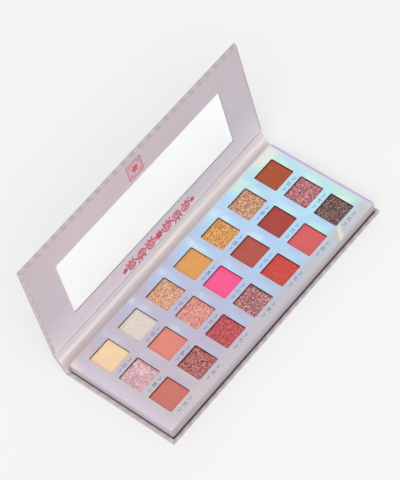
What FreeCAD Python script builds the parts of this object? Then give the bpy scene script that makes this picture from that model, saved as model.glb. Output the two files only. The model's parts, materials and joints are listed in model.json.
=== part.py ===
import FreeCAD, Part
import os

from FreeCAD import Vector

# Book-style eyeshadow palette: a wrapped board cover in three panels (base, spine, lid)
# with a tray of 21 pressed-powder pans on the base and a mirror in the lid.
#
# Frame, in millimetres: the origin is the centre of the base's underside, +X runs along
# the palette, +Y towards the hinge and +Z up. Every panel is drawn in the closed palette
# and then swung open to the stored pose.

# ---- Cover panels ----
COVER_LENGTH = 229.6       # base, spine and lid along X
COVER_DEPTH = 96.6         # base panel, front edge to rear edge
CORNER_RADIUS = 1.0        # plan corners of the panels
BOARD = 2.4                # greyboard in the base and the lid
PAPER = 0.2                # printed cover paper
TURN_IN = 13.0             # paper folded over onto a panel's inner face
CREASE = 2.6               # flexible paper between a panel's edge and its hinge line
SPINE_BOARD = 1.6
SPINE_LINER = 0.3
SPINE_CREASE = 1.0         # the same gap on the spine's own side of each hinge line
LID_LINER = 0.5            # card panel that frames the mirror
LID_LINER_MARGIN = 1.8     # cover paper left showing round the card panel
CLOSED_CLEARANCE = 0.5     # between the tray's face and the closed lid

# ---- Tray ----
TRAY_LENGTH = 225.2
TRAY_DEPTH = 93.8
TRAY_TOP = 15.0
SHADOW_GAP = 3.1           # height of the dark recess below the tray's wall
PLINTH_INSET = 1.2         # how far the plinth stands in from the tray's wall
TRAY_SKIN = 0.4            # holographic cover card
TRAY_FLOOR = 1.5
EDGE_ROLL = 2.2            # rounded top edge of the tray
TRAY_CORNER = 1.6          # upright corners of the tray

# ---- Pans and powder ----
COLUMNS = 7
ROWS = 3
PITCH_X = 30.4
PITCH_Y = 27.2
WINDOW = 20.6              # square opening in the tray's face
PAN_SIZE = 21.6
PAN_WALL = 0.3
PAN_HEIGHT = 4.6
PAN_CORNER = 1.4
POCKET_PLAY = 0.1          # clearance round a pan in its pocket
POWDER_DEPTH = 1.1         # from the tray's face down to the powder
POWDER_CHAMFER = 0.35      # softened edge of the pressed cake

# ---- Mirror ----
MIRROR_WINDOW_LENGTH = 174.6
MIRROR_WINDOW_DEPTH = 54.9
MIRROR_FROM_HINGE = 21.2   # lid's hinge line to the window's near edge
MIRROR_LAP = 1.5           # how far the card panel laps over the glass
MIRROR_THICKNESS = 1.0
MIRROR_TAPE = 0.2
MIRROR_PLAY = 0.2          # gap round the glass in its recess

# ---- Closing magnets ----
MAGNET_RADIUS = 3.0
MAGNET_HEIGHT = 1.2
MAGNET_SPACING = 5 * PITCH_X    # centre to centre, each between two columns of pans
MAGNET_FROM_FRONT = 7.0    # disc centre to the cover's front edge

# ---- Stored pose ----
SPINE_TILT = 25.0          # spine leans back from upright
LID_SWING = 68.75          # lid opened further, about the spine's far crease

BASE_PANEL = BOARD + 2 * PAPER
TRAY_BOTTOM = BASE_PANEL + SHADOW_GAP
LID_PANEL = BOARD + 2 * PAPER + LID_LINER
CLOSED_HEIGHT = TRAY_TOP + CLOSED_CLEARANCE + LID_PANEL
HALF_DEPTH = COVER_DEPTH / 2
HINGE_Y = HALF_DEPTH + CREASE
BASE_HINGE = Vector(0, HINGE_Y, 0)
LID_HINGE = Vector(0, HINGE_Y, CLOSED_HEIGHT)
OPENING_AXIS = Vector(-1, 0, 0)
PANEL_SPAN = (-HALF_DEPTH, HALF_DEPTH)
MAGNET_Y = MAGNET_FROM_FRONT - HALF_DEPTH


def block(length, y_range, z_range):
    """A box centred on X = 0."""
    low_y, high_y = y_range
    low_z, high_z = z_range
    corner = Vector(-length / 2, low_y, low_z)
    return Part.makeBox(length, high_y - low_y, high_z - low_z, corner)


def upright_edges(solid):
    """The straight edges of a solid that run along Z."""
    chosen = []
    for edge in solid.Edges:
        span = edge.BoundBox
        if span.ZLength > 1e-6 and span.XLength < 1e-6 and span.YLength < 1e-6:
            chosen.append(edge)
    return chosen


def rounded_block(length, y_range, z_range, radius):
    """A box with its four upright edges rounded."""
    solid = block(length, y_range, z_range)
    return solid.makeFillet(radius, upright_edges(solid))


def top_edges(solid, height):
    """The edges of a solid's outline that lie at one height."""
    chosen = []
    for edge in solid.Edges:
        span = edge.BoundBox
        if abs(span.ZMin - height) < 1e-6 and abs(span.ZMax - height) < 1e-6:
            chosen.append(edge)
    return chosen


def centred(depth):
    return (-depth / 2, depth / 2)


def pan_centres():
    """Pan positions, numbered along the hinge row first, from left to right."""
    centres = []
    for row in range(ROWS):
        for column in range(COLUMNS):
            x = (column - (COLUMNS - 1) / 2) * PITCH_X
            y = ((ROWS - 1) / 2 - row) * PITCH_Y
            centres.append(Vector(x, y, 0))
    return centres


def square_prism(size, low_z, high_z, radius):
    return rounded_block(size, centred(size), (low_z, high_z), radius)


def at_every_pan(solid):
    """One copy of a solid at each pan's place."""
    return [solid.translated(centre) for centre in pan_centres()]


def magnet_pair(low_z, radius):
    """Two discs near the front edge, for the magnets or for the holes they sit in."""
    discs = []
    for side in (-1, 1):
        foot = Vector(side * MAGNET_SPACING / 2, MAGNET_Y, low_z)
        discs.append(Part.makeCylinder(radius, MAGNET_HEIGHT, foot))
    return discs


def widened(span, amount):
    """A low-high pair moved outwards at both ends, or inwards for a negative amount."""
    return (span[0] - amount, span[1] + amount)


def wrapped_board(low_z):
    """Greyboard inside a cover panel whose paper starts at low_z."""
    span = widened(PANEL_SPAN, -PAPER)
    heights = (low_z + PAPER, low_z + PAPER + BOARD)
    return rounded_block(COVER_LENGTH - 2 * PAPER, span, heights, CORNER_RADIUS - PAPER)


def wrapped_cover(low_z, inner_z):
    """Cover paper round a board, open on its inner face within the turned-in margin."""
    heights = (low_z, low_z + BOARD + 2 * PAPER)
    outside = rounded_block(COVER_LENGTH, PANEL_SPAN, heights, CORNER_RADIUS)
    window_span = widened(PANEL_SPAN, -TURN_IN)
    window = block(COVER_LENGTH - 2 * TURN_IN, window_span, (inner_z, inner_z + PAPER))
    return outside.cut([wrapped_board(low_z), window])


# ---- Base ----
def base_board():
    return wrapped_board(0.0)


def base_cover():
    return wrapped_cover(0.0, inner_z=BASE_PANEL - PAPER)


def tray_plinth():
    """Dark inset board that holds the tray off the base panel."""
    length = TRAY_LENGTH - 2 * PLINTH_INSET
    span = centred(TRAY_DEPTH - 2 * PLINTH_INSET)
    return rounded_block(length, span, (BASE_PANEL, TRAY_BOTTOM), CORNER_RADIUS)


def tray_form(skin, low_z):
    """The tray's outline with rolled top edges, drawn in from the outside by skin."""
    top = TRAY_TOP - skin
    span = centred(TRAY_DEPTH - 2 * skin)
    solid = rounded_block(TRAY_LENGTH - 2 * skin, span, (low_z, top), TRAY_CORNER - skin)
    return solid.makeFillet(EDGE_ROLL - skin, top_edges(solid, top))


def tray_floor():
    floor_top = TRAY_BOTTOM + TRAY_FLOOR
    length = TRAY_LENGTH - 2 * TRAY_SKIN
    span = centred(TRAY_DEPTH - 2 * TRAY_SKIN)
    return rounded_block(length, span, (TRAY_BOTTOM, floor_top), TRAY_CORNER - TRAY_SKIN)


PAN_TOP = TRAY_TOP - TRAY_SKIN - POCKET_PLAY
PAN_FOOT = PAN_TOP - PAN_HEIGHT
BASE_MAGNET_FOOT = TRAY_TOP - TRAY_SKIN - MAGNET_HEIGHT


def tray_core():
    """Foam block inside the tray, with a pocket for each pan and each magnet."""
    core = tray_form(TRAY_SKIN, TRAY_BOTTOM + TRAY_FLOOR)
    pocket_size = PAN_SIZE + 2 * POCKET_PLAY
    pocket = square_prism(pocket_size, PAN_FOOT, TRAY_TOP, PAN_CORNER + POCKET_PLAY)
    holes = magnet_pair(BASE_MAGNET_FOOT, MAGNET_RADIUS + POCKET_PLAY)
    return core.cut(at_every_pan(pocket) + holes)


def tray_cover():
    """Holographic card over the tray: face with 21 windows and a wall all round."""
    shell = tray_form(0.0, TRAY_BOTTOM).cut(tray_form(TRAY_SKIN, TRAY_BOTTOM))
    window = square_prism(WINDOW, TRAY_TOP - 2 * TRAY_SKIN, TRAY_TOP, CORNER_RADIUS)
    return shell.cut(at_every_pan(window))


def pan():
    """Shallow pressed-tin pan."""
    outside = square_prism(PAN_SIZE, PAN_FOOT, PAN_TOP, PAN_CORNER)
    inside_size = PAN_SIZE - 2 * PAN_WALL
    inside = square_prism(inside_size, PAN_FOOT + PAN_WALL, PAN_TOP, PAN_CORNER - PAN_WALL)
    return outside.cut(inside)


def powder():
    """Pressed cake that fills a pan to just below the tray's face."""
    top = TRAY_TOP - POWDER_DEPTH
    size = PAN_SIZE - 2 * PAN_WALL
    cake = square_prism(size, PAN_FOOT + PAN_WALL, top, PAN_CORNER - PAN_WALL)
    return cake.makeChamfer(POWDER_CHAMFER, top_edges(cake, top))


def base_magnets():
    return Part.makeCompound(magnet_pair(BASE_MAGNET_FOOT, MAGNET_RADIUS))


# ---- Spine, drawn upright as in the closed palette ----
SPINE_RANGE = (SPINE_CREASE, CLOSED_HEIGHT - SPINE_CREASE)
SPINE_INNER_Y = HINGE_Y - PAPER - SPINE_BOARD


def spine_board():
    length = COVER_LENGTH - 2 * PAPER
    return block(length, (SPINE_INNER_Y, HINGE_Y - PAPER), SPINE_RANGE)


def spine_cover():
    """Cover paper on the spine's outer face, turned over its two ends."""
    return block(COVER_LENGTH, (SPINE_INNER_Y, HINGE_Y), SPINE_RANGE).cut(spine_board())


def spine_liner():
    """Satin lining on the spine's inner face."""
    return block(COVER_LENGTH, (SPINE_INNER_Y - SPINE_LINER, SPINE_INNER_Y), SPINE_RANGE)


# ---- Lid, drawn lying closed over the tray ----
LID_INNER = CLOSED_HEIGHT - LID_PANEL
LID_PAPER_FACE = LID_INNER + LID_LINER
LID_BOARD_FACE = LID_PAPER_FACE + PAPER
WINDOW_SPAN = (HINGE_Y - MIRROR_FROM_HINGE - MIRROR_WINDOW_DEPTH, HINGE_Y - MIRROR_FROM_HINGE)


def mirror_recess():
    length = MIRROR_WINDOW_LENGTH + 2 * (MIRROR_LAP + MIRROR_PLAY)
    span = widened(WINDOW_SPAN, MIRROR_LAP + MIRROR_PLAY)
    depth = MIRROR_THICKNESS + MIRROR_TAPE - PAPER
    return block(length, span, (LID_BOARD_FACE, LID_BOARD_FACE + depth))


def lid_board():
    """Greyboard with a recess for the glass and blind holes for the magnets."""
    holes = magnet_pair(LID_BOARD_FACE, MAGNET_RADIUS + POCKET_PLAY)
    return wrapped_board(LID_PAPER_FACE).cut([mirror_recess()] + holes)


def lid_cover():
    return wrapped_cover(LID_PAPER_FACE, inner_z=LID_PAPER_FACE)


def lid_liner():
    """Card panel on the lid's inner face, with the mirror's window."""
    length = COVER_LENGTH - 2 * LID_LINER_MARGIN
    span = widened(PANEL_SPAN, -LID_LINER_MARGIN)
    card = rounded_block(length, span, (LID_INNER, LID_PAPER_FACE), CORNER_RADIUS)
    return card.cut(block(MIRROR_WINDOW_LENGTH, WINDOW_SPAN, (LID_INNER, LID_PAPER_FACE)))


def mirror():
    length = MIRROR_WINDOW_LENGTH + 2 * MIRROR_LAP
    span = widened(WINDOW_SPAN, MIRROR_LAP)
    return block(length, span, (LID_PAPER_FACE, LID_PAPER_FACE + MIRROR_THICKNESS))


def mirror_tape():
    """Adhesive sheet between the glass and the board."""
    low_z = LID_PAPER_FACE + MIRROR_THICKNESS
    return block(MIRROR_WINDOW_LENGTH, WINDOW_SPAN, (low_z, low_z + MIRROR_TAPE))


def lid_magnets():
    return Part.makeCompound(magnet_pair(LID_BOARD_FACE, MAGNET_RADIUS))


# ---- Assembly ----
def opened_with_spine(shape):
    """Swing a closed shape about the base hinge by the spine's tilt."""
    moved = shape.copy()
    moved.rotate(BASE_HINGE, OPENING_AXIS, SPINE_TILT)
    return moved


def opened_with_lid(shape):
    """Swing a closed lid shape about its own hinge, then with the spine."""
    moved = shape.copy()
    moved.rotate(LID_HINGE, OPENING_AXIS, LID_SWING)
    return opened_with_spine(moved)


def base_nodes():
    nodes = {
        "base_board": base_board(),
        "base_cover": base_cover(),
        "tray_plinth": tray_plinth(),
        "tray_floor": tray_floor(),
        "tray_core": tray_core(),
        "tray_cover": tray_cover(),
        "base_magnets": base_magnets(),
    }
    for number, shape in enumerate(at_every_pan(pan()), start=1):
        nodes[f"pan_{number:02d}"] = shape
    for number, shape in enumerate(at_every_pan(powder()), start=1):
        nodes[f"powder_{number:02d}"] = shape
    return nodes


def spine_nodes():
    closed = {
        "spine_board": spine_board(),
        "spine_cover": spine_cover(),
        "spine_liner": spine_liner(),
    }
    return {name: opened_with_spine(shape) for name, shape in closed.items()}


def lid_nodes():
    closed = {
        "lid_board": lid_board(),
        "lid_cover": lid_cover(),
        "lid_liner": lid_liner(),
        "mirror": mirror(),
        "mirror_tape": mirror_tape(),
        "lid_magnets": lid_magnets(),
    }
    return {name: opened_with_lid(shape) for name, shape in closed.items()}


os.makedirs("parts", exist_ok=True)
for group in (base_nodes(), spine_nodes(), lid_nodes()):
    for node, shape in group.items():
        shape.exportStep(f"parts/{node}.step")

spine_turn = FreeCAD.Rotation(OPENING_AXIS, SPINE_TILT)
opened_lid_hinge = BASE_HINGE + spine_turn.multVec(LID_HINGE - BASE_HINGE)
print("base hinge line, y and z:", BASE_HINGE.y, BASE_HINGE.z)
print("lid hinge line, y and z:", round(opened_lid_hinge.y, 4), round(opened_lid_hinge.z, 4))
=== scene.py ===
import json
import math

import bmesh
import bpy
from mathutils import Matrix, Vector, noise


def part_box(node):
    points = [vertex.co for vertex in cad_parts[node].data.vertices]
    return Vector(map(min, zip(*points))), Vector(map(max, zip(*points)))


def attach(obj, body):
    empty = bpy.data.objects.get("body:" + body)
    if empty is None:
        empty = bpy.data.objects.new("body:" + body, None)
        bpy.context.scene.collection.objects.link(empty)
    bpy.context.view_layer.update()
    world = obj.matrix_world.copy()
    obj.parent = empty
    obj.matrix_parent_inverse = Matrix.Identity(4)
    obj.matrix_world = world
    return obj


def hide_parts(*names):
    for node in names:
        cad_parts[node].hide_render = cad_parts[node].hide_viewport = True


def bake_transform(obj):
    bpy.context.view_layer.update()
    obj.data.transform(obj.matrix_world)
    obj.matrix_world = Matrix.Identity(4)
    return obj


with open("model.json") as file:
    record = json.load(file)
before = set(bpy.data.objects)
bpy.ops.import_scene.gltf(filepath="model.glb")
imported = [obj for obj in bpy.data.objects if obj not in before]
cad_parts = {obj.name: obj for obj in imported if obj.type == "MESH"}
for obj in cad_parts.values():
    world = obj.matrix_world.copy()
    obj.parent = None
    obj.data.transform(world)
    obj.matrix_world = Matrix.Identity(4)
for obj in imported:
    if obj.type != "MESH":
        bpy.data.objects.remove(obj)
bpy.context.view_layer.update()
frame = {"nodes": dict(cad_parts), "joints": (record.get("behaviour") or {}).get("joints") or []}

MM = 0.001

# ---- The frame, read from the CAD model ----
base_low, base_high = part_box("base_cover")
liner_low, liner_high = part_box("lid_liner")
tray_low, tray_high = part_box("tray_cover")
joints = {joint["name"]: joint for joint in frame["joints"]}
BASE_HINGE = Vector(joints["base_crease"]["pos_m"])
LID_HINGE = Vector(joints["lid_crease"]["pos_m"])
SPINE_TILT = math.radians(-joints["base_crease"]["range_deg"][0])
LID_SWING = math.radians(-joints["lid_crease"]["range_deg"][0])
SPINE_HEIGHT = (LID_HINGE - BASE_HINGE).length
COVER_LENGTH = base_high.x - base_low.x
COVER_DEPTH = base_high.y - base_low.y
PANEL = base_high.z  # thickness of a wrapped board
CREASE = BASE_HINGE.y - base_high.y  # panel's edge to the hinge line
TRAY_TOP = tray_high.z
PITCH_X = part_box("pan_02")[0].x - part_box("pan_01")[0].x
PITCH_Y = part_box("pan_01")[0].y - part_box("pan_08")[0].y

# ---- Sizes that only the looks need ----
PAPER = 0.2 * MM
TURN_IN = 13 * MM
SPINE_TURN_IN = 3 * MM
PAPER_FOLD = 0.5 * MM  # radius of the paper round a board's edge
CORNER_RADIUS = 0.35 * MM
SPINE_START = 1.0 * MM  # hinge line to the spine board's edge
SPINE_END = SPINE_HEIGHT - SPINE_START
SPINE_THICKNESS = 2.0 * MM  # spine board with paper on both sides
LID_LINER = 0.5 * MM
PANEL_FACE = PANEL + LID_LINER  # the lid's inner face, over the cover's outside
PRINT_THICKNESS = 0.03 * MM
CHECK_PERIOD = 9 * MM
WHITE = (1.0, 1.0, 1.0, 1.0)


# ---- node helpers ----
def linear(code):
    """Linear RGBA from a six-digit colour code."""
    channels = []
    for start in (0, 2, 4):
        value = int(code[start:start + 2], 16) / 255
        low = value <= 0.04045
        channels.append(value / 12.92 if low else ((value + 0.055) / 1.055) ** 2.4)
    return (*channels, 1.0)


def scaled(colour, amount):
    """A colour made lighter or darker, kept within range."""
    return (*[min(1.0, channel * amount) for channel in colour[:3]], 1.0)


def plug(tree, socket, value):
    """Link a socket, or set it if the value is a plain number or colour."""
    if isinstance(value, bpy.types.NodeSocket):
        tree.links.new(value, socket)
    else:
        socket.default_value = value


def node(tree, kind, settings=None, **inputs):
    """Add a shader node; inputs are named by socket, with _ for a space."""
    made = tree.nodes.new("ShaderNode" + kind)
    for key, value in (settings or {}).items():
        setattr(made, key, value)
    for key, value in inputs.items():
        plug(tree, made.inputs[key.replace("_", " ")], value)
    return made


def maths(tree, operation, first, second=0.0, third=0.0):
    """Result of a Math node on up to three values."""
    made = node(tree, "Math", {"operation": operation})
    for socket, value in zip(made.inputs, (first, second, third)):
        plug(tree, socket, value)
    return made.outputs[0]


def times(tree, product, *others):
    """Product of two or more values."""
    for other in others:
        product = maths(tree, "MULTIPLY", product, other)
    return product


def wave(tree, kind, value, period, shift=0.0):
    """SINE or COSINE of a length that repeats after a period, shifted by a part of a turn."""
    turn = maths(tree, "MULTIPLY_ADD", value, math.tau / period, math.tau * shift)
    return maths(tree, kind, turn)


def ramp(tree, factor, stops, interpolation="EASE"):
    """A colour ramp; stops are (position, colour code)."""
    made = node(tree, "ValToRGB", Fac=factor)
    made.color_ramp.interpolation = interpolation
    elements = made.color_ramp.elements
    while len(elements) < len(stops):
        elements.new(0.5)
    for element, (position, code) in zip(elements, stops):
        element.position = position
        element.color = linear(code)
    return made.outputs["Color"]


def mixed(tree, factor, first, second, blend="MIX"):
    """Two colours mixed by a factor; the second shows fully at 1."""
    made = node(tree, "Mix", {"data_type": "RGBA", "blend_type": blend})
    for name, value in (("Factor_Float", factor), ("A_Color", first), ("B_Color", second)):
        socket = next(s for s in made.inputs if s.identifier == name)
        plug(tree, socket, value)
    return next(s for s in made.outputs if s.identifier == "Result_Color")


def spread(tree, value, low, high, to_low=0.0, to_high=1.0):
    """Map a range onto another, clamped."""
    made = node(
        tree, "MapRange", Value=value, From_Min=low, From_Max=high, To_Min=to_low, To_Max=to_high
    )
    return made.outputs["Result"]


def place(tree):
    """Object coordinates, in metres."""
    return node(tree, "TexCoord").outputs["Object"]


def place_on_sheet(tree):
    """Coordinates on a piece's flat sheet of paper, in metres."""
    return node(tree, "UVMap", {"uv_map": "sheet"}).outputs["UV"]


def axes(tree, vector):
    """The three parts of a vector."""
    parts = node(tree, "SeparateXYZ", Vector=vector).outputs
    return parts[0], parts[1], parts[2]


def grain(tree, where, size, detail=3.0, distortion=0.0):
    """Noise whose blotches are about one size across, in metres."""
    made = node(
        tree, "TexNoise", Vector=where, Scale=1 / size, Detail=detail, Distortion=distortion
    )
    return made.outputs["Fac"]


def flakes(tree, where, size):
    """A random value for each small flake of about one size."""
    cells = node(tree, "TexVoronoi", Vector=where, Scale=1 / size)
    return node(tree, "SeparateColor", Color=cells.outputs["Color"]).outputs[0]


def material(name, **inputs):
    """A principled material and its tree, with uniform values on the shader's own sockets."""
    made = bpy.data.materials.new(name)
    made.use_nodes = True
    shader = made.node_tree.nodes["Principled BSDF"]
    for key, value in inputs.items():
        shader.inputs[key.replace("_", " ")].default_value = value
    return made, made.node_tree


def surface(made, colour, texture=None, roughness=None, depth=None):
    """Plug a colour into a material, and return it.

    One texture may vary the roughness between two values, and raise the surface by up to a
    depth in metres.
    """
    tree = made.node_tree
    shader = tree.nodes["Principled BSDF"]
    plug(tree, shader.inputs["Base Color"], colour)
    if roughness:
        plug(tree, shader.inputs["Roughness"], spread(tree, texture, 0.3, 0.7, *roughness))
    if depth:
        raised = node(tree, "Bump", Height=texture, Distance=depth, Strength=1.0)
        plug(tree, shader.inputs["Normal"], raised.outputs["Normal"])
    return made


# ---- paper and board ----
def cover_paper():
    """Pearly printed paper with a generic woven check, laid out by the sheet's own UVs."""
    made, tree = material(
        "cover_paper", Metallic=0.05, Coat_Weight=0.2, Coat_Roughness=0.25
    )
    sheet = place_on_sheet(tree)
    across, along, _ = axes(tree, sheet)
    warp = spread(tree, wave(tree, "SINE", across, CHECK_PERIOD), -0.3, 0.3, 0.0, 0.7)
    weft = spread(tree, wave(tree, "SINE", along, CHECK_PERIOD), -0.3, 0.3, 0.0, 0.45)
    pearl = ramp(tree, grain(tree, sheet, 30 * MM), [(0.3, "DDCFD4"), (0.7, "D8CED3")])
    pink = mixed(tree, warp, pearl, linear("C4A6B0"))
    check = mixed(tree, weft, pink, linear("B7B5B4"))
    fibre = grain(tree, sheet, 0.25 * MM)
    return surface(made, check, fibre, (0.34, 0.5), 0.02 * MM)


def panel_card():
    """Satin mauve card inside the lid, slightly pinker towards the free edge; its brightness is
    painted light, lighter near the hinge and darker at both ends.
    """
    made, tree = material(
        "panel_card", Coat_Weight=0.05, Coat_Roughness=0.3, Specular_IOR_Level=0.2
    )
    where = place(tree)
    x, _, z = axes(tree, where)
    height = spread(tree, z, liner_low.z, liner_high.z)
    cloud = grain(tree, where, 45 * MM, 2.0)
    mix = maths(tree, "MULTIPLY_ADD", cloud, 0.5, times(tree, height, 0.6))
    colour = ramp(tree, mix, [(0.1, "E6DDE5"), (0.45, "E2D8E1"), (0.85, "E1D2D9")])
    # Painted light and shade: the card's colour is scaled by place to stand in for how it is lit.
    tone = times(
        tree,
        spread(tree, height, 0.08, 0.36, 1.15, 0.96),  # painted light: paler towards the hinge, against the shade of the tray and spine
        spread(tree, height, 0.005, 0.05, 1.17, 1.0),  # painted light: palest at its hinge edge, against the shade of the lining's ridge
        spread(tree, x, -60 * MM, 110 * MM, 1.0, 0.90),  # painted shade: darker towards the right
        spread(tree, x, -110 * MM, -62 * MM, 0.92, 1.0),  # painted shade: darker at the left end too
    )
    toned = node(tree, "VectorMath", {"operation": "SCALE"}, Vector=colour, Scale=tone)
    fibre = grain(tree, where, 0.3 * MM)
    return surface(made, toned.outputs[0], fibre, (0.42, 0.55), 0.015 * MM)


def lining_paper():
    """Soft satin lining of the spine, with painted shade darker down by the tray, a painted
    highlight palest along its ridge, and a painted reflection of the tray's card beside it at the
    right.
    """
    made, tree = material("lining_paper", Sheen_Weight=0.3, Sheen_Roughness=0.4)
    where = place(tree)
    x, _, _ = axes(tree, where)
    stretched = node(tree, "Mapping", Vector=where, Scale=(0.06, 1.0, 1.0))
    crease = grain(tree, stretched.outputs["Vector"], 2.5 * MM, 1.5)
    _, height, _ = axes(tree, place_on_sheet(tree))
    # Painted shade and highlight: dark beside the tray, palest on the ridge and near the lid.
    tone = ramp(tree, spread(tree, height, -5 * MM, 12 * MM), [
        (0.0, "CFC1C6"), (0.12, "D4C6CA"), (0.20, "E2D4D6"), (0.30, "F0E4E4"),
        (0.40, "F6ECEC"), (0.52, "F4EAEA"), (0.60, "F2E7E8"), (0.70, "EDE2E3"),
        (0.82, "EBE0E2"), (0.90, "FAF0F2"),
    ], "LINEAR")
    # Painted reflection: pale cyan white where the tray's card would reflect on the lining at the
    # right.
    painted_tray_reflection = spread(tree, height, -4.4 * MM, -2.6 * MM, 1.0, 0.0)
    right = spread(tree, x, -30 * MM, 60 * MM)
    tone = mixed(tree, times(tree, painted_tray_reflection, right), tone, linear("F6FFFF"))
    silk = ramp(tree, crease, [(0.2, "F4F4F4"), (0.8, "FFFFFF")])
    colour = mixed(tree, 1.0, tone, silk, "MULTIPLY")
    return surface(made, colour, crease, (0.36, 0.5), 0.04 * MM)


def fibre_board(name, dark, light, roughness):
    """Uncoated board with visible fibres."""
    made, tree = material(name, Roughness=roughness)
    fibre = grain(tree, place(tree), 0.6 * MM, 5.0, 0.6)
    return surface(made, ramp(tree, fibre, [(0.3, dark), (0.7, light)]), fibre, None, 0.05 * MM)


RAINBOW_START = -115 * MM  # place along the tray where the card's rainbow starts
RAINBOW_END = 150 * MM
RAINBOW_SWING = 48 * MM  # how far it swings beside a window
RAINBOW_DRIFT = 60 * MM  # how far it wanders


def rainbow_phase(tree, where):
    """How far along the card's rainbow each point is, in metres of tray length.

    The tint runs along the tray and is ahead at the rear. Beside every window it swings
    forward to the window's right and back to its left, as the pressed card curves there.
    """
    x, y, _ = axes(tree, where)
    swing = times(tree, wave(tree, "SINE", x, PITCH_X), RAINBOW_SWING)
    beside = spread(tree, wave(tree, "COSINE", y, PITCH_Y), -0.6, 0.9)
    rear = spread(tree, y, 30 * MM, 41 * MM)
    front = spread(tree, y, -32 * MM, -42 * MM, 1.0, 0.2)
    right_end = spread(tree, x, 102 * MM, 108 * MM, 1.0, 0.0)
    amount = maths(tree, "MAXIMUM", beside, times(tree, rear, 0.45))
    amount = times(tree, amount, front, right_end)
    lead = maths(tree, "MULTIPLY_ADD", x, 0.2, 26 * MM)
    ahead = maths(tree, "MULTIPLY_ADD", rear, lead, x)
    cloud = grain(tree, where, 24 * MM, 2.0, 0.6)
    wander = maths(tree, "SUBTRACT", cloud, 0.5)
    drift = maths(tree, "MULTIPLY_ADD", wander, RAINBOW_DRIFT, ahead)
    return maths(tree, "MULTIPLY_ADD", swing, amount, drift)


def painted_window_glints(tree, where):
    """Where the painted highlights go: right of each window, and most of all in the rear margin.
    """
    x, y, _ = axes(tree, where)
    beside = spread(tree, wave(tree, "COSINE", x, PITCH_X, -0.41), 0.72, 1.0)
    level = spread(tree, wave(tree, "COSINE", y, PITCH_Y, -0.185), -0.2, 0.8, 0.0, 0.7)
    rear = spread(tree, y, 35 * MM, 39 * MM)
    return times(
        tree,
        beside,
        maths(tree, "MAXIMUM", level, rear),
        spread(tree, x, -95 * MM, 10 * MM, 0.25, 1.0),  # weaker towards the left
        spread(tree, grain(tree, where, 8 * MM, 2.0, 0.5), 0.38, 0.62, 0.25, 1.0),
        spread(tree, y, -8 * MM, -20 * MM, 1.0, 0.0),  # none towards the front
    )


def card_face(tree, where, along):
    """Colour of the card's flat face, from its place along the rainbow, with painted highlights
    beside the windows and across the front margin.
    """
    x, y, _ = axes(tree, where)
    tint = ramp(tree, along, [
        (0.0, "D2C8CE"), (0.14, "C9BFCA"), (0.27, "C3BCD3"), (0.38, "BCC4DF"),
        (0.50, "BACDEC"), (0.61, "B8D7F7"), (0.72, "BADFFC"), (0.80, "BFEDF8"),
        (0.87, "C8F4EA"), (0.93, "E0F9EC"), (1.0, "F2F6E4"),
    ])
    front_tint = ramp(tree, along, [(0.0, "D4CACE"), (0.5, "C9C3C9"), (1.0, "CFCED4")])
    front = spread(tree, y, -33 * MM, -41 * MM, 0.0, 0.85)
    face = mixed(tree, front, tint, front_tint)
    # Painted highlight: pale cyan white glints beside the windows.
    bright = times(tree, painted_window_glints(tree, where), 0.75)
    face = mixed(tree, bright, face, linear("E6FBFF"))
    right_end = spread(tree, x, 106.5 * MM, 110 * MM, 0.0, 0.5)
    face = mixed(tree, right_end, face, linear("EADCDC"))
    # Painted highlight: a cream diagonal glint across the front margin at the right.
    slant = maths(tree, "MULTIPLY_ADD", y, -0.8, x)
    from_slant = maths(tree, "ABSOLUTE", maths(tree, "SUBTRACT", slant, 112.8 * MM))
    painted_glint_streak = times(tree, spread(tree, from_slant, 3.2 * MM, 0.3 * MM), front)
    return mixed(tree, painted_glint_streak, face, linear("F1ECCB"))


def card_ends(tree, x, across, along, face):
    """The face, turning mauve at both ends of the tray and where it rolls down there; the roll is
    partly a painted highlight, palest on the left.
    """
    rolled = spread(tree, maths(tree, "ABSOLUTE", across), 0.08, 0.5)
    left_margin = spread(tree, x, -104 * MM, -108 * MM, 0.0, 0.8)
    right_margin = spread(tree, x, 109.5 * MM, 110.5 * MM)
    end = maths(tree, "MAXIMUM", rolled, maths(tree, "MAXIMUM", left_margin, right_margin))
    # Partly the card's own mauve, partly a painted highlight: the roll is palest on the left.
    roll = ramp(tree, along, [(0.1, "DCD1E2"), (0.6, "D2C8E4"), (0.85, "CBBBEC")])
    return mixed(tree, end, face, roll)


def card_wall(tree, x, z, facing, along):
    """Colour of the tray's walls, with painted shade: darker low down, less so on the left-facing
    wall, and darker at the front wall's left end.
    """
    wall = ramp(tree, along, [(0.1, "C6B8C0"), (0.5, "C8BBC1"), (0.85, "C0B9BE")])
    # Painted shade: the walls darken towards their foot, less on the left-facing wall.
    low = spread(tree, z, 6.5 * MM, 13.5 * MM, 0.72, 0.0)
    left_side = spread(tree, facing[0], -0.8, -0.3, 0.65, 1.0)
    wall = mixed(tree, times(tree, low, left_side), wall, linear("8F7F85"))
    # Painted shade: the front wall darkens near its left corner.
    painted_corner_shade = times(
        tree,
        spread(tree, x, -74 * MM, -88 * MM),
        spread(tree, facing[1], -0.3, -0.8),
        spread(tree, z, 9 * MM, 12.5 * MM, 0.2, 0.9),
    )
    return mixed(tree, painted_corner_shade, wall, linear("AFA1A6"))


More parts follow.
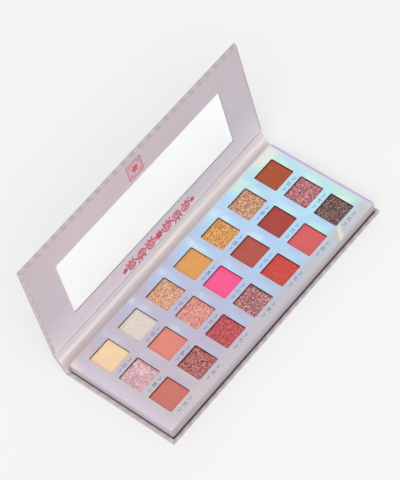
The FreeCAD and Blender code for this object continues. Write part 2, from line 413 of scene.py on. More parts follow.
def holographic_card():
    """Iridescent laminated card: its tint drifts along the tray, with soft streaks, painted
    highlights and painted shade on its walls.
    """
    made, tree = material(
        "holographic_card", Metallic=0.1, Coat_Weight=0.4, Coat_Roughness=0.15
    )
    where = place(tree)
    x, y, z = axes(tree, where)
    facing = axes(tree, node(tree, "NewGeometry").outputs["Normal"])
    along = spread(tree, rainbow_phase(tree, where), RAINBOW_START, RAINBOW_END)
    face = card_face(tree, where, along)
    face = card_ends(tree, x, facing[0], along, face)
    # Painted highlight: a cream glint at the rear left corner.
    left = spread(tree, x, -107 * MM, -110.5 * MM)
    rear = spread(tree, y, 34 * MM, 42 * MM)
    face = mixed(tree, times(tree, left, rear), face, linear("F4DED0"))
    # Painted highlight: the faces towards the hinge turn pale cyan white.
    back = ramp(tree, along, [
        (0.1, "DCCFD2"), (0.35, "D8DCE4"), (0.55, "DCF4F4"), (0.85, "F6FFFA"),
    ])
    face = mixed(tree, spread(tree, facing[1], 0.05, 0.6), face, back)
    upright = spread(tree, facing[2], 0.45, 0.1)
    colour = mixed(tree, upright, face, card_wall(tree, x, z, facing, along))
    fibre = grain(tree, where, 0.4 * MM)
    return surface(made, colour, fibre, (0.26, 0.36), 0.01 * MM)


def print_ink(name, dark, light):
    """Slightly uneven printed ink."""
    made, tree = material(name, Roughness=0.45)
    patch = grain(tree, place(tree), 1.5 * MM)
    return surface(made, ramp(tree, patch, [(0.35, dark), (0.65, light)]))


# ---- metal and glass ----
def scratched_metal(name, metallic, size, dark, light, roughness):
    """Bare metal, with fine scratches in its colour and gloss."""
    made, tree = material(name, Metallic=metallic)
    scratch = grain(tree, place(tree), size, 4.0, 1.0)
    return surface(made, ramp(tree, scratch, [(0.3, dark), (0.7, light)]), scratch, roughness)


def filmed_mirror():
    """Mirror under the milky film that protects it until first use; the film glows faintly,
    painted light that keeps it bright white.
    """
    # Painted light: the emission makes the film glow.
    made, tree = material(
        "filmed_mirror", Coat_Weight=0.1, Coat_Roughness=0.08, Specular_IOR_Level=0.2,
        Emission_Color=WHITE, Emission_Strength=0.18,
    )
    cloud = grain(tree, place(tree), 25 * MM)
    colour = ramp(tree, cloud, [(0.3, "F7FAFA"), (0.7, "FAFDFC")])
    return surface(made, colour, cloud, (0.35, 0.45))


# ---- powders ----
# Kind of finish, then its colours. A matte needs one; the others go from dark to light,
# and a glitter's fourth is the hue of its odd flakes.
SHADES = [
    ("matte", "FBDAB1"), ("pearl", "DACABE", "E7D8CD", "F4EAE2"),
    ("glitter", "AE6C4A", "E0A57E", "FADCBA", "EDA88E"), ("matte", "E3A35E"),
    ("glitter", "AA5E1F", "E69C49", "FFE0A2", "E8953A"),
    ("glitter", "905137", "D79C72", "FADABA", "CB7C58"), ("matte", "B05636"),
    ("marble", "C48C98", "DAA8B0", "F3E2E2"), ("matte", "E88B7D"),
    ("glitter", "C2665E", "E8918B", "FFD0C6", "E8A078"), ("matte", "FF5C96"),
    ("matte", "B7584C"), ("matte", "AE4742"),
    ("glitter", "6E2032", "B95C65", "FAC4C4", "CC848C"),
    ("matte", "D3796E"), ("glitter", "5C1622", "AE5256", "EEB0A9", "CA7062"),
    ("shimmer", "8C2036", "C34E55", "EE8286"),
    ("glitter", "5C262D", "B3696B", "FAC8C3", "AA6065"),
    ("sparkle", "B62C22", "D2453B", "F08C78"), ("matte", "DC6467"),
    ("glitter", "241618", "644644", "B89E92", "8A4C46"),
]


def toned(tree, value, tones, positions):
    """A ramp through a powder's own colours."""
    return ramp(tree, value, list(zip(positions, tones)), "LINEAR")


def two_sizes(tree, where, large, fine):
    """Flakes of two sizes pressed together."""
    coarse = times(tree, flakes(tree, where, large), 0.5)
    return maths(tree, "MULTIPLY_ADD", flakes(tree, where, fine), 0.5, coarse)


# Each powder returns its colour, the texture of its surface and that texture's depth.
def matte_powder(tree, where, tones):
    """Matte powder: soft mottling and a fine grain."""
    colour = linear(tones[0])
    cloud = spread(tree, grain(tree, where, 6 * MM), 0.3, 0.7)
    dust = grain(tree, where, 0.35 * MM, 4.0)
    tone = mixed(tree, cloud, scaled(colour, 0.96), scaled(colour, 1.03))
    speck = spread(tree, dust, 0.35, 0.65, 0.0, 0.35)
    return mixed(tree, speck, tone, scaled(colour, 0.88)), dust, 0.05 * MM


def glitter_powder(tree, where, tones):
    """Pressed glitter: packed flakes of two sizes, some of them of another hue."""
    both = two_sizes(tree, where, 0.75 * MM, 0.42 * MM)
    colour = toned(tree, both, tones[:3], (0.22, 0.5, 0.82))
    odd = spread(tree, flakes(tree, where, 1.0 * MM), 0.62, 0.72, 0.0, 0.75)
    dim = spread(tree, both, 0.3, 0.75, 1.0, 0.15)
    return mixed(tree, times(tree, odd, dim), colour, linear(tones[3])), both, 0.2 * MM


def shimmer_powder(tree, where, tones):
    """Fine even shimmer."""
    both = two_sizes(tree, where, 0.8 * MM, 0.45 * MM)
    return toned(tree, both, tones, (0.1, 0.5, 0.92)), both, 0.1 * MM


def sparkle_powder(tree, where, tones):
    """Nearly even colour with a few small sparkles and dark specks."""
    value = flakes(tree, where, 0.45 * MM)
    dark, even, bright = tones
    colour = toned(tree, value, (dark, even, even, bright), (0.02, 0.2, 0.93, 1.0))
    return colour, value, 0.08 * MM


def marble_powder(tree, where, tones):
    """Foiled pink pressed with broken pale veins."""
    swirl = grain(tree, where, 4.2 * MM, 4.0, 1.6)
    value = flakes(tree, where, 0.7 * MM)
    mix = maths(tree, "MULTIPLY_ADD", value, 0.22, times(tree, swirl, 0.85))
    return toned(tree, mix, tones, (0.34, 0.52, 0.74)), mix, 0.2 * MM


# For each kind: its material, roughness, metallic, and the height of its cake's relief.
POWDER_KINDS = {
    "matte": (matte_powder, 0.9, 0.0, 0.05 * MM),
    "pearl": (shimmer_powder, 0.4, 0.1, 0.05 * MM),
    "shimmer": (shimmer_powder, 0.4, 0.1, 0.08 * MM),
    "glitter": (glitter_powder, 0.42, 0.15, 0.16 * MM),
    "sparkle": (sparkle_powder, 0.55, 0.0, 0.06 * MM),
    "marble": (marble_powder, 0.36, 0.15, 0.14 * MM),
}


def powder_material(name, kind, tones):
    """Material of one shade."""
    pattern, roughness, metallic, _ = POWDER_KINDS[kind]
    made, tree = material(name, Roughness=roughness, Metallic=metallic)
    colour, texture, depth = pattern(tree, place(tree), tones)
    return surface(made, colour, texture, depth=depth)


# ---- mesh helpers ----
def added(name, data):
    """An object in the scene."""
    made = bpy.data.objects.new(name, data)
    bpy.context.scene.collection.objects.link(made)
    return made


def piece(name, work, finish, body=None, smooth_angle=40):
    """A piece of the visual model from a bmesh, smoothed over edges up to an angle.

    It rides on a body when one is given.
    """
    bmesh.ops.recalc_face_normals(work, faces=work.faces[:])
    mesh = bpy.data.meshes.new(name)
    work.to_mesh(mesh)
    work.free()
    mesh.polygons.foreach_set("use_smooth", [True] * len(mesh.polygons))
    mesh.set_sharp_from_angle(angle=math.radians(smooth_angle))
    mesh.materials.append(finish)
    made = added(name, mesh)
    if body:
        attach(made, body)
    return made


def shares(steps):
    """Even shares from 0 to 1."""
    return [step / steps for step in range(steps + 1)]


def bridge(work, rings):
    """Faces between each closed ring of vertices and the next."""
    faces = []
    for first, second in zip(rings, rings[1:]):
        for index in range(len(first)):
            following = (index + 1) % len(first)
            corners = (first[index], first[following], second[following], second[index])
            faces.append(work.faces.new(corners))
    return faces


def lay_out(faces, sheet, flat):
    """Give the corners of faces their places on the flat sheet."""
    for face in faces:
        for loop in face.loops:
            loop[sheet].uv = flat[loop.vert]


def heading(points, index):
    """Direction of a run of plane points at one of them."""
    before = Vector(points[max(index - 1, 0)])
    after = Vector(points[min(index + 1, len(points) - 1)])
    return (after - before).normalized()


def base_point(x, along, inward):
    """A point by its place on the base: along from the hinge line, inward from the outside."""
    return Vector((x, BASE_HINGE.y - along, inward))


def tilted(hinge, angle, x, along, inward):
    """The same on a panel that was opened by an angle from closed."""
    ahead = Vector((0, -math.cos(angle), math.sin(angle)))
    inside = Vector((0, -math.sin(angle), -math.cos(angle)))
    return Vector((x, hinge.y, hinge.z)) + ahead * along + inside * inward


def spine_point(x, along, inward):
    """The same on the spine."""
    return tilted(BASE_HINGE, SPINE_TILT + math.pi / 2, x, along, inward)


def lid_point(x, along, inward):
    """The same on the lid."""
    return tilted(LID_HINGE, SPINE_TILT + LID_SWING, x, along, inward)


def lid_reach(name):
    """Nearest and furthest that a node of the lid comes to the lid's hinge line."""
    ahead = lid_point(0, 1, 0) - lid_point(0, 0, 0)
    vertices = frame["nodes"][name].data.vertices
    reaches = [(vertex.co - LID_HINGE).dot(ahead) for vertex in vertices]
    return min(reaches), max(reaches)


def rounded_outline(low, high):
    """Points and outward directions round a panel with rounded corners."""
    right = COVER_LENGTH / 2 - CORNER_RADIUS
    near = low + CORNER_RADIUS
    far = high - CORNER_RADIUS
    points = []
    for turn, (x, y) in enumerate([(right, far), (-right, far), (-right, near), (right, near)]):
        for share in shares(5):
            angle = math.radians(90 * turn + 90 * share)
            out = Vector((math.cos(angle), math.sin(angle)))
            points.append((Vector((x, y)) + out * CORNER_RADIUS, out))
    return points


INNER_CORNER = 0.9 * CORNER_RADIUS  # the corners stay round this far inward


def paper_profile(thickness, turn_in):
    """Pairs of inset and height from the outer face, round the edge, to the turned-in margin."""
    turns = [math.radians(90 * share) for share in shares(4)]
    profile = []
    for turn in turns:
        inset = PAPER_FOLD * (1 - math.sin(turn))
        profile.append((inset, PAPER_FOLD * (1 - math.cos(turn))))
    for turn in turns:
        inset = PAPER_FOLD * (1 - math.cos(turn))
        profile.append((inset, thickness - PAPER_FOLD * (1 - math.sin(turn))))
    profile.append((turn_in, thickness))
    return profile


def wrapped_panel(to_world, low, high, thickness, turn_in):
    """Paper wrapped round a board: outer face, rounded edges and a turned-in margin."""
    outline = rounded_outline(low, high)
    work = bmesh.new()
    sheet = work.loops.layers.uv.new("sheet")
    flat = {}
    rings = []
    walked = -PAPER_FOLD
    last = None
    for inset, height in paper_profile(thickness, turn_in):
        if last is not None:
            walked += math.dist(last, (inset, height))
        last = (inset, height)
        beyond = max(0.0, inset - INNER_CORNER)
        ring = []
        for point, out in outline:
            across = math.copysign(beyond, point.x)
            along = math.copysign(beyond, point.y - (low + high) / 2)
            spot = point - out * min(inset, INNER_CORNER) - Vector((across, along))
            vertex = work.verts.new(to_world(spot.x, spot.y, height))
            flat[vertex] = point + out * walked
            ring.append(vertex)
        rings.append(ring)
    work.faces.new(rings[0])
    bridge(work, rings)
    lay_out(work.faces, sheet, flat)
    return work


RIPPLE_ALONG = 55  # noise waves per metre, along X
RIPPLE_ACROSS = 300  # and across it


def sweep(work, section, low_x, high_x, ripple=0.0, stations=80, start=0.0):
    """Add a closed section in (y, z), run along X, with a slight ripple in its surface."""
    sheet = work.loops.layers.uv.get("sheet") or work.loops.layers.uv.new("sheet")
    rows = []
    flat = {}
    for share in shares(stations):
        x = low_x + (high_x - low_x) * share
        row = []
        walked = start
        for index, (y, z) in enumerate(section):
            if index:
                walked += math.dist(section[index - 1], (y, z))
            spot = Vector((x * RIPPLE_ALONG, y * RIPPLE_ACROSS, z * RIPPLE_ACROSS))
            sway = noise.noise(spot) * ripple
            vertex = work.verts.new((x, y + sway * 0.6, z + sway * 0.4))
            flat[vertex] = (x, walked)
            row.append(vertex)
        rows.append(row)
    faces = [work.faces.new(rows[0]), work.faces.new(list(reversed(rows[-1])))]
    faces += bridge(work, rows)
    lay_out(faces, sheet, flat)


def yz(point):
    """Where a point lies in the plane square to X."""
    return (point.y, point.z)


def softened(points, rounds=2):
    """Corner-cutting: an open run of points made smooth."""
    for _ in range(rounds):
        smooth = [points[0]]
        for (ay, az), (by, bz) in zip(points, points[1:]):
            smooth.append((ay * 0.75 + by * 0.25, az * 0.75 + bz * 0.25))
            smooth.append((ay * 0.25 + by * 0.75, az * 0.25 + bz * 0.75))
        smooth.append(points[-1])
        points = smooth
    return points


def beside(run, distance):
    """The run in (y, z), moved square to itself: to its left for a distance above 0."""
    moved = []
    for index, (y, z) in enumerate(run):
        ahead = heading(run, index)
        moved.append((y - ahead.y * distance, z + ahead.x * distance))
    return moved


# ---- materials made once ----
COVER = cover_paper()
LINING = lining_paper()
GREYBOARD = fibre_board("greyboard", "8F877D", "B3AA9E", 0.85)
# Painted shade: the plinth board is dark so the gap under the tray reads as deep shade.
PLINTH_SHADE = fibre_board("plinth_board", "54434A", "6B5860", 0.8)
CORE = fibre_board("tray_core_board", "CFC8BF", "DED8D0", 0.9)
CARD = panel_card()
HOLOGRAPHIC = holographic_card()
# Painted shade: the pans' tin is dark, standing in for the shade and dark reflections inside each
# window.
SHADED_TIN = scratched_metal("pressed_tin_painted_shade", 0.9, 0.8 * MM, "4A3B38", "6B5A55", (0.35, 0.55))
STEEL = scratched_metal("bright_steel", 1.0, 0.5 * MM, "A9A9AD", "C4C4C6", (0.2, 0.35))
MIRROR = filmed_mirror()
TAPE = fibre_board("adhesive_sheet", "DADAD4", "EDEDE8", 0.6)
INK_RED = print_ink("ink_red", "D04E5C", "E0656F")
INK_PINK = print_ink("ink_pink", "EDB2BC", "F4C8CE")
INK_BLUE = print_ink("ink_blue", "5A6B88", "6F7F9A")
# Painted shade: ink for dark lines at the lid card's hinge edge and round the mirror.
SHADE_LINE_INK = print_ink("painted_edge_shade", "55505A", "6A646E")


# ---- carried-over CAD nodes ----
CAD_FINISHES = {
    "base_board": GREYBOARD, "tray_floor": GREYBOARD, "spine_board": GREYBOARD,
    "lid_board": GREYBOARD, "tray_plinth": PLINTH_SHADE, "tray_core": CORE,
    "tray_cover": HOLOGRAPHIC, "base_magnets": STEEL, "lid_magnets": STEEL,
    "mirror": MIRROR, "mirror_tape": TAPE, "lid_liner": CARD,
}
CAD_FINISHES.update({f"pan_{number:02d}": SHADED_TIN for number in range(1, len(SHADES) + 1)})
for node_name, finish in CAD_FINISHES.items():
    mesh = frame["nodes"][node_name].data
    mesh.materials.clear()
    mesh.materials.append(finish)

# A small bevel on the sharp edges of the cards that stay.
for node_name in ("lid_liner", "tray_cover"):
    bevel = frame["nodes"][node_name].modifiers.new("soft_edge", "BEVEL")
    bevel.width = 0.12 * MM
    bevel.segments = 2
    bevel.limit_method = "ANGLE"
    bevel.angle_limit = math.radians(35)
    bevel.harden_normals = False


# ---- cover ----
def cover_piece(name, body, node_name, to_world, low, high, thickness=PANEL, turn_in=TURN_IN):
    """Cover paper of one panel, which stands for a CAD node."""
    work = wrapped_panel(to_world, low, high, thickness, turn_in)
    made = piece(name, work, COVER, body, 60)
    thicken = made.modifiers.new("paper", "SOLIDIFY")
    thicken.thickness = PAPER
    thicken.offset = -1
    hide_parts(node_name)


cover_piece("base_cover_paper", "base", "base_cover", base_point, CREASE, CREASE + COVER_DEPTH)
cover_piece("lid_cover_paper", "lid", "lid_cover", lid_point, CREASE, CREASE + COVER_DEPTH)
cover_piece(
    "spine_cover_paper", "spine", "spine_cover", spine_point, SPINE_START, SPINE_END,
    SPINE_THICKNESS, SPINE_TURN_IN,
)

CREASE_PAPER = 0.35 * MM
UNDER = 0.12 * MM  # how far the crease papers lie under the panels' outside
LAP = 1.2 * MM  # how far they reach in behind each panel


def crease_paper(name, bodies, panel_point, spine_edge, into_spine):
    """Cover paper across a fold, a thin closed band that bends between a panel and the spine."""
    run = [
        panel_point(0, CREASE + LAP, UNDER),
        panel_point(0, CREASE - 0.3 * MM, UNDER),
        panel_point(0, 0, UNDER * 2),
        spine_point(0, spine_edge, UNDER),
        spine_point(0, spine_edge + into_spine * LAP, UNDER),
    ]
    ends = [panel_point(0, CREASE, 0), spine_point(0, spine_edge, 0)]
    if bodies[0] == "spine":
        run.reverse()
        ends.reverse()
    outer = softened([yz(point) for point in run])
    inner = beside(outer, CREASE_PAPER)
    half = COVER_LENGTH / 2 - 0.1 * MM
    work = bmesh.new()
    sweep(work, outer + list(reversed(inner)), -half, half, 0.05 * MM)
    made = piece(name, work, COVER, None, 50)
    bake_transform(made)


crease_paper("base_crease_paper", ("base", "spine"), base_point, SPINE_START, 1)
crease_paper("lid_crease_paper", ("spine", "lid"), lid_point, SPINE_END, -1)

# ---- lining ----
LINING_PAPER = 0.22 * MM
LINING_FACE = SPINE_THICKNESS + 0.1 * MM  # the lining's surface on the flat of the spine
LINING_HALF = COVER_LENGTH / 2 - 0.5 * MM
LINING_JOIN = 0.52  # share of the spine where the two sheets meet
FLAP_OUTER = LINING_HALF - 0.05 * MM  # faces of the flap at each end
FLAP_INNER = LINING_HALF - 0.4 * MM
GUSSET_HEIGHT = 9.5 * MM  # where the lower sheet leaves the tray's wall
TRAY_BACK = tray_high.y + LINING_PAPER


def lining(name, run, foot, first_reach):
    """Lining paper over one fold, from the points of its inner surface.

    Its ends are closed by thin flaps that go down to the foot points under it.
    """
    top = softened([yz(point) for point in run], 3)
    back = beside(top, -LINING_PAPER)
    under = [yz(point) for point in reversed(foot)]
    work = bmesh.new()
    section = top + list(reversed(back))
    sweep(work, section, -LINING_HALF, LINING_HALF, 0.12 * MM, start=first_reach)
    for side in (-1, 1):
        ends = (side * FLAP_OUTER, side * FLAP_INNER)
        sweep(work, back + under, *ends, stations=1, start=first_reach)
    made = piece(name, work, LINING, None, 50)
    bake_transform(made)
    return made


def spine_run(*pairs):
    """Points on the spine from pairs: share of its height, and mm above the flat lining."""
    return [spine_point(0, share * SPINE_HEIGHT, LINING_FACE + rise * MM) for share, rise in pairs]


join_foot = spine_point(0, LINING_JOIN * SPINE_HEIGHT, MM)
lower_run = [
    Vector((0, TRAY_BACK, PANEL + 0.3 * MM)),
    Vector((0, TRAY_BACK, GUSSET_HEIGHT)),
    Vector((0, TRAY_BACK + 1.4 * MM, GUSSET_HEIGHT + 0.1 * MM)),
    *spine_run((0.40, 1.3), (LINING_JOIN, 1.0)),
]
lower_foot = [
    Vector((0, TRAY_BACK + 0.3 * MM, PANEL)),
    base_point(0, 0, 0.5 * MM),
    spine_point(0, SPINE_START, 0.6 * MM),
    join_foot,
]
upper_run = [
    *spine_run(
        (LINING_JOIN, 1.0), (0.56, 1.1), (0.61, 1.4), (0.66, 1.55), (0.71, 1.4), (0.77, 0.6),
        (0.83, 0.1), (0.91, 0.15), (0.97, -0.5),
    ),
    lid_point(0, 1.2 * MM, PANEL - 0.7 * MM),
    lid_point(0, CREASE + 0.3 * MM, PANEL + LINING_PAPER),
    lid_point(0, CREASE + 2.2 * MM, PANEL + LINING_PAPER),
]
upper_foot = [
    join_foot,
    spine_point(0, SPINE_END, 0.6 * MM),
    lid_point(0, 0, 0.5 * MM),
    lid_point(0, CREASE, MM),
]
lower_length = sum(math.dist(first, second) for first, second in zip(lower_run, lower_run[1:]))
lining(
    "lower_lining", lower_run, lower_foot, -lower_length,
)
upper_lining = lining(
    "upper_lining", upper_run, upper_foot, 0.0,
)
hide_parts("spine_liner")


# ---- painted shadow under the tray ----
def gap_shadow_sheet():
    """Painted shadow: a dark sheet on the base, from the plinth out to just inside the tray's
    wall, where the tray's overhang shades the base.
    """
    margin = Vector((0.15 * MM, 0.15 * MM))
    plinth_low, plinth_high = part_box("tray_plinth")
    work = bmesh.new()
    rings = []
    for low, high in ((tray_low.xy, tray_high.xy), (plinth_low.xy, plinth_high.xy)):
        low = low + margin
        high = high - margin
        corners = [(low.x, low.y), (high.x, low.y), (high.x, high.y), (low.x, high.y)]
        for level in (PANEL - 0.05 * MM, PANEL + 0.25 * MM):
            rings.append([work.verts.new((x, y, level)) for x, y in corners])
    outer_foot, outer_top, inner_foot, inner_top = rings
    bridge(work, [outer_foot, outer_top, inner_top, inner_foot, outer_foot])
    piece("gap_shadow_sheet", work, PLINTH_SHADE, "base")


gap_shadow_sheet()

# ---- powder cakes ----
CAKE_STEPS = 46
CAKE_CORNER = 1.1 * MM
CAKE_WAVES = 0.08 * MM  # gentle unevenness of the whole top
CRUMBLE = 0.9 * MM  # width of the crumbly edge
CRUMBLE_FALL = 0.45 * MM
BROAD_NOISE = 160  # noise waves per metre
COARSE_NOISE = 1500
FINE_NOISE = 3300


def pulled_in(across, along, half):
    """A point of the cake's square plan, moved in where its corner is rounded."""
    over = Vector((abs(across) - half + CAKE_CORNER, abs(along) - half + CAKE_CORNER))
    if over.x > 0 and over.y > 0:
        over *= max(over) / over.length
        across = math.copysign(half - CAKE_CORNER + over.x, across)
        along = math.copysign(half - CAKE_CORNER + over.y, along)
    return across, along


def cake_rise(spot, edge, relief):
    """Height of the powder over its nominal top, at a distance from the cake's edge."""
    rough = noise.noise(spot * COARSE_NOISE) + 0.6 * noise.noise(spot * FINE_NOISE)
    broad = noise.noise(spot * BROAD_NOISE)
    fall = CRUMBLE_FALL * max(0.0, 1 - edge / CRUMBLE) ** 2
    return relief * rough + CAKE_WAVES * (broad - 1) - fall


def cake(number, kind, tones):
    """A pressed cake: slightly crowned, crumbly at its edge, rougher where it is glitter."""
    node_name = f"powder_{number:02d}"
    low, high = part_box(node_name)
    middle = (low + high) / 2
    half = (high.x - low.x) / 2
    relief = POWDER_KINDS[kind][-1]
    work = bmesh.new()
    grid = []
    for row in shares(CAKE_STEPS):
        line = []
        for column in shares(CAKE_STEPS):
            across, along = pulled_in((column * 2 - 1) * half, (row * 2 - 1) * half, half)
            spot = Vector((middle.x + across, middle.y + along, 0))
            top = high.z + cake_rise(spot, half - max(abs(across), abs(along)), relief)
            line.append(work.verts.new((spot.x, spot.y, top)))
        grid.append(line)
    rim = grid[0] + [line[-1] for line in grid[1:]] + grid[-1][-2::-1]
    rim += [line[0] for line in grid[-2:0:-1]]
    foot = [work.verts.new((vertex.co.x, vertex.co.y, low.z)) for vertex in rim]
    for near, far in zip(grid, grid[1:]):
        for column in range(CAKE_STEPS):
            work.faces.new((near[column], near[column + 1], far[column + 1], far[column]))
    bridge(work, [foot, rim])
    work.faces.new(foot)
    finish = powder_material(node_name, kind, tones)
    made = piece(f"cake_{number:02d}", work, finish, "base", 60)
    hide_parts(node_name)


for number, (kind, *tones) in enumerate(SHADES, start=1):
    cake(number, kind, tones)


# ---- printed marks ----
def ribbon(work, points, widths, to_world, low, high):
    """A flat printed stroke along plan points, between two heights over a surface."""
    left = []
    right = []
    for index, point in enumerate(points):
        ahead = heading(points, index)
        side = Vector((-ahead.y, ahead.x)) * widths[index] / 2
        for store, spot in ((left, Vector(point) + side), (right, Vector(point) - side)):
            store.append([
                work.verts.new(to_world(spot.x, spot.y, low)),
                work.verts.new(to_world(spot.x, spot.y, high)),
            ])
    for index in range(len(points) - 1):
        a, b, c, d = left[index], left[index + 1], right[index + 1], right[index]
        work.faces.new((a[1], b[1], c[1], d[1]))
        work.faces.new((a[0], d[0], c[0], b[0]))
        work.faces.new((a[0], b[0], b[1], a[1]))
        work.faces.new((d[0], d[1], c[1], c[0]))
    for a, d in ((left[0], right[0]), (left[-1], right[-1])):
        work.faces.new((a[0], a[1], d[1], d[0]))


def tray_face_point(x, y, height):
    """A point over the tray's face."""
    return Vector((x, y, TRAY_TOP + height))


def swelling(width, steps):
    """Widths of a stroke that swells in the middle and thins at both ends."""
    return [width * (0.25 + 0.75 * math.sin(math.pi * share)) for share in shares(steps)]


def thinning(width, loss, steps):
    """Widths of a stroke that loses a part of its width on the way."""
    return [width * (1 - loss * share) for share in shares(steps)]


DIGIT_SIZE = 3.7 * MM
MARK_BELOW_PAN = 4.7 * MM  # window's front edge to the foot of the digits
BESIDE_DIGITS = 3.1 * MM  # middle of the digits to the start of a wave
FLOURISH = 4.6 * MM


def flourish(work, x, y, side):
    """A small wave beside a shade number."""
    steps = 16
    points = []
    for share in shares(steps):
        rise = 0.62 * MM * math.sin(share * 3 * math.pi) * (1 - 0.4 * share)
        points.append((x + side * share * FLOURISH, y + rise))
    ribbon(work, points, swelling(0.5 * MM, steps), tray_face_point, 0.0, PRINT_THICKNESS)


def printed_digits(number):
    """Mesh of a two-digit number, centred on the origin's X and standing on its Y."""
    words = bpy.data.curves.new("digits", "FONT")
    words.body = f"{number:02d}"
    words.size = DIGIT_SIZE
    words.extrude = PRINT_THICKNESS / 2
    words.align_x = "CENTER"
    words.offset = 0.04 * MM
    holder = bpy.data.objects.new("digits", words)
    printed = bpy.data.meshes.new_from_object(holder)
    bpy.data.objects.remove(holder)
    return printed


def shade_numbers():
    """A plain shade number between two small waves in front of each pan, in one mesh."""
    work = bmesh.new()
    for number in range(1, len(SHADES) + 1):
        low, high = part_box(f"powder_{number:02d}")
        middle = (low.x + high.x) / 2
        foot = low.y - MARK_BELOW_PAN
        printed = printed_digits(number)
        spot = Vector((middle, foot, TRAY_TOP + PRINT_THICKNESS / 2))
        printed.transform(Matrix.Translation(spot))
        work.from_mesh(printed)
        for side in (-1, 1):
            flourish(work, middle + side * BESIDE_DIGITS, foot + DIGIT_SIZE * 0.34, side)
    piece("shade_numbers", work, INK_BLUE, "base")


shade_numbers()

STEM_WIDTH = 1.15 * MM
CURL_WIDTH = 0.95 * MM
BUD = 1.9 * MM


class Print:
    """One print on the lid's panel; extra width makes the halo under the red scroll."""

    def __init__(self, name, finish, low, high, extra):
        self.work = bmesh.new()
        self.name = name
        self.finish = finish
        self.extra = extra
        self.low = PANEL_FACE + low
        self.high = PANEL_FACE + high
        self.count = 0

    def stroke(self, points, widths):
        """One stroke, at its own height by a hair so that crossing strokes never coincide."""
        self.count += 1
        lift = self.count % 16 * 0.003 * MM
        bold = [width + self.extra for width in widths]
        ribbon(self.work, points, bold, lid_point, self.low, self.high + lift)

    def leaf(self, x, along, angle, length, width):
        """A slightly bent leaf, from its foot in a direction."""
        points = []
        widths = []
        for share in shares(8):
            bend = 0.12 * length * math.sin(share * math.pi)
            points.append((
                x + math.cos(angle) * share * length - math.sin(angle) * bend,
                along + math.sin(angle) * share * length + math.cos(angle) * bend,
            ))
            widths.append(max(width * math.sin(share * math.pi), 0.1 * MM))
        self.stroke(points, widths)

    def petals(self, x, along, count, length, width, turn=0.0):
        """Leaves all round one point."""
        for petal in range(count):
            self.leaf(x, along, turn + petal * math.tau / count, length, width)

    def volute(self, x, along, side, hand, radius):
        """A curl that winds in from the side of the panel's middle, with a bud inside."""
        steps = 36
        points = []
        for share in shares(steps):
            angle = math.pi - hand * share * 3.3 * math.pi
            reach = radius * (1 - 0.72 * share)
            points.append((x + side * math.cos(angle) * reach, along + math.sin(angle) * reach))
        self.stroke(points, thinning(CURL_WIDTH, 0.35, steps))
        self.leaf(x - BUD / 2, along, 0, BUD, BUD * 0.9)

    def done(self):
        """Make the piece."""
        piece(self.name, self.work, self.finish, "lid")


SCROLL_CENTRE = 10.2 * MM  # hinge line to the middle of the stem
SCROLL_GAP = 4 * MM  # middle of the panel to the start of each stem
WAVES = 3  # crests and hollows of the stem on each side
WAVE_LENGTH = 10.4 * MM
CREST = 3.5 * MM
CREST_LOSS = 0.1  # part of its height that the stem's wave loses
CURL_RADIUS = 4.1 * MM
CREST_LEAVES = ((-2.2, 118), (0.6, 82), (3.0, 48))  # place in mm, and lean in degrees
LEAF_LENGTH = 2.9 * MM
LEAF_WIDTH = 1.3 * MM


def scroll_ornament(ink):
    """Generic running scroll between the mirror and the hinge: a stem with curls and leaves."""
    steps = 60
    for side in (-1, 1):
        stem = []
        for share in shares(steps):
            swing = CREST * (1 - CREST_LOSS * share) * math.sin(share * WAVES * math.pi)
            run = SCROLL_GAP + share * WAVES * WAVE_LENGTH
            stem.append((side * run, SCROLL_CENTRE + swing))
        ink.stroke(stem, thinning(STEM_WIDTH, 0.2, steps))
        for index in range(WAVES):
            up = -1 if index % 2 else 1
            size = 1 - 0.03 * index
            middle = side * (SCROLL_GAP + (index + 0.5) * WAVE_LENGTH)
            ink.volute(middle, SCROLL_CENTRE - up * 0.9 * MM, side, -up, CURL_RADIUS * size)
            crest = SCROLL_CENTRE + up * CREST * (1 - CREST_LOSS * (index + 0.5) / WAVES)
            for ahead, lean in CREST_LEAVES:
                angle = math.radians(lean if side > 0 else 180 - lean) * up
                x = middle + side * ahead * MM
                ink.leaf(x, crest, angle, LEAF_LENGTH * size, LEAF_WIDTH)
        tip = side * (SCROLL_GAP + WAVES * WAVE_LENGTH + 1.6 * MM)
        ink.petals(tip, SCROLL_CENTRE, 5, 2.6 * MM, 1.5 * MM, math.radians(18))
    ink.petals(0, SCROLL_CENTRE, 8, 4.6 * MM, 1.5 * MM, math.radians(22.5))


BADGE_CENTRE = 87.0 * MM


def square_outline(ink, half, width):
    """Four strokes round the badge's middle, which meet at the corners of a square."""
    corners = [(-half, -half), (half, -half), (half, half), (-half, half), (-half, -half)]
    for (ax, ay), (bx, by) in zip(corners, corners[1:]):
        run = Vector((bx - ax, by - ay)).normalized() * width / 2
        start = (ax - run.x, BADGE_CENTRE + ay - run.y)
        end = (bx + run.x, BADGE_CENTRE + by + run.y)
        ink.stroke([start, end], [width, width])


def square_badge(ink):
    """Generic square rosette near the lid's free edge."""
    square_outline(ink, 7.0 * MM, 0.75 * MM)
    square_outline(ink, 5.6 * MM, 0.3 * MM)
    ink.petals(0, BADGE_CENTRE, 8, 4.4 * MM, 1.3 * MM, math.radians(22.5))
    for x in (-1, 1):
        for y in (-1, 1):
            ink.petals(x * 4.2 * MM, BADGE_CENTRE + y * 4.2 * MM, 4, 1.2 * MM, 0.6 * MM)


def liner_shadow_line(ink):
    """Painted shadow along the lid card's hinge edge, under its lifted edge, widest at the right
    and fading out.
    """
    along = lid_reach("lid_liner")[0] + 0.3 * MM
    left = 42 * MM
    right = liner_high.x - 0.3 * MM
    points = []
    widths = []
    for share in shares(24):
        points.append((left + (right - left) * share, along))
        widths.append(0.42 * MM * share + 0.02 * MM)
    ink.stroke(points, widths)


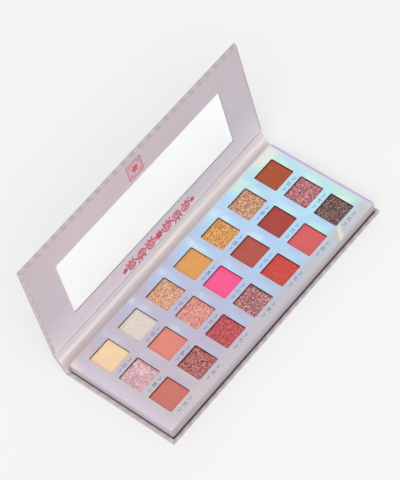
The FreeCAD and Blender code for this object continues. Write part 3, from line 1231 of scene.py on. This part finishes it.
for name, draw, finish, low, high, extra in (
    ("scroll_halo", scroll_ornament, INK_PINK, 0.0, PRINT_THICKNESS * 0.5, 0.75 * MM),
    ("scroll_ornament", scroll_ornament, INK_RED, PRINT_THICKNESS * 0.3, PRINT_THICKNESS * 3, 0.0),
    ("square_badge", square_badge, INK_RED, 0.0, PRINT_THICKNESS, 0.0),
    ("liner_shadow_line", liner_shadow_line, SHADE_LINE_INK, 0.0, PRINT_THICKNESS, 0.0),
):
    ink = Print(name, finish, low, high, extra)
    draw(ink)
    ink.done()


# ---- mirror's trim, in painted shade ----
def mirror_shade_frame():
    """The card's cut edge round the mirror, a thin frame down to the glass, coloured dark as
    painted shade and reflection.
    """
    low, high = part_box("mirror_tape")
    half = (high.x - low.x) / 2
    near, far = lid_reach("mirror_tape")
    thin = 0.05 * MM
    top = PANEL_FACE + 0.02 * MM
    work = bmesh.new()
    rings = []
    for inset, height in ((0.0, PANEL), (0.0, top), (thin, top), (thin, PANEL)):
        across = half - inset
        corners = [(-across, near + inset), (across, near + inset)]
        corners += [(across, far - inset), (-across, far - inset)]
        rings.append([work.verts.new(lid_point(x, along, height)) for x, along in corners])
    bridge(work, rings + rings[:1])
    piece("mirror_shade_frame", work, SHADE_LINE_INK, "lid")


mirror_shade_frame()


# ---- stage ----
FLOOR_HALF = 4.0
FLOOR_DROP = 0.2 * MM  # keeps it off the cover
SKY_STRENGTH = (0.23, 0.745)  # at the horizon, and overhead
KEY_STRENGTH = 1.26
KEY_WIDTH = math.radians(50)
KEY_DIRECTION = Vector((-0.42, -0.45, 0.80))
CAMERA_PLACE = Vector((-0.6390, -0.8112, 1.5293))
CAMERA_AIM = Vector((0.0182, 0.0359, 0.0150))
CAMERA_ROLL = math.radians(15.3)
CAMERA_LENS = 197.35  # in mm
SENSOR_WIDTH = 36


def floor():
    """Plain pale floor, lit a little from within like a photographer's light table."""
    made, tree = material(
        "floor", Roughness=0.9, Specular_IOR_Level=0.1,
        Emission_Color=WHITE, Emission_Strength=0.45,
    )
    cloud = grain(tree, place(tree), 0.4)
    surface(made, ramp(tree, cloud, [(0.3, "B8B8B8"), (0.7, "BABABA")]))
    work = bmesh.new()
    bmesh.ops.create_grid(work, x_segments=8, y_segments=8, size=FLOOR_HALF)
    for vertex in work.verts:
        vertex.co.z -= FLOOR_DROP
    piece("floor", work, made)


def surround():
    """White studio, bright overhead and dimmer towards the horizon."""
    world = bpy.data.worlds.new("studio")
    bpy.context.scene.world = world
    world.use_nodes = True
    tree = world.node_tree
    _, _, height = axes(tree, node(tree, "TexCoord").outputs["Generated"])
    background = tree.nodes["Background"]
    background.inputs["Color"].default_value = WHITE
    plug(tree, background.inputs["Strength"], spread(tree, height, 0.0, 0.8, *SKY_STRENGTH))


def key_light():
    """Wide soft key from the front left, high up."""
    key = bpy.data.lights.new("key", "SUN")
    key.energy = KEY_STRENGTH
    key.angle = KEY_WIDTH
    lamp = added("key", key)
    lamp.rotation_euler = KEY_DIRECTION.to_track_quat("Z", "Y").to_euler()


def camera():
    """Long lens from the front left, high up and rolled, as the palette was shown."""
    data = bpy.data.cameras.new("camera")
    data.lens = CAMERA_LENS
    data.sensor_width = SENSOR_WIDTH
    made = added("camera", data)
    level = (CAMERA_AIM - CAMERA_PLACE).to_track_quat("-Z", "Y").to_matrix()
    turned = level @ Matrix.Rotation(-CAMERA_ROLL, 3, "Z")
    made.matrix_world = Matrix.Translation(CAMERA_PLACE) @ turned.to_4x4()
    bpy.context.scene.camera = made


floor()
surround()
key_light()
camera()
bpy.context.scene.view_settings.view_transform = "Standard"
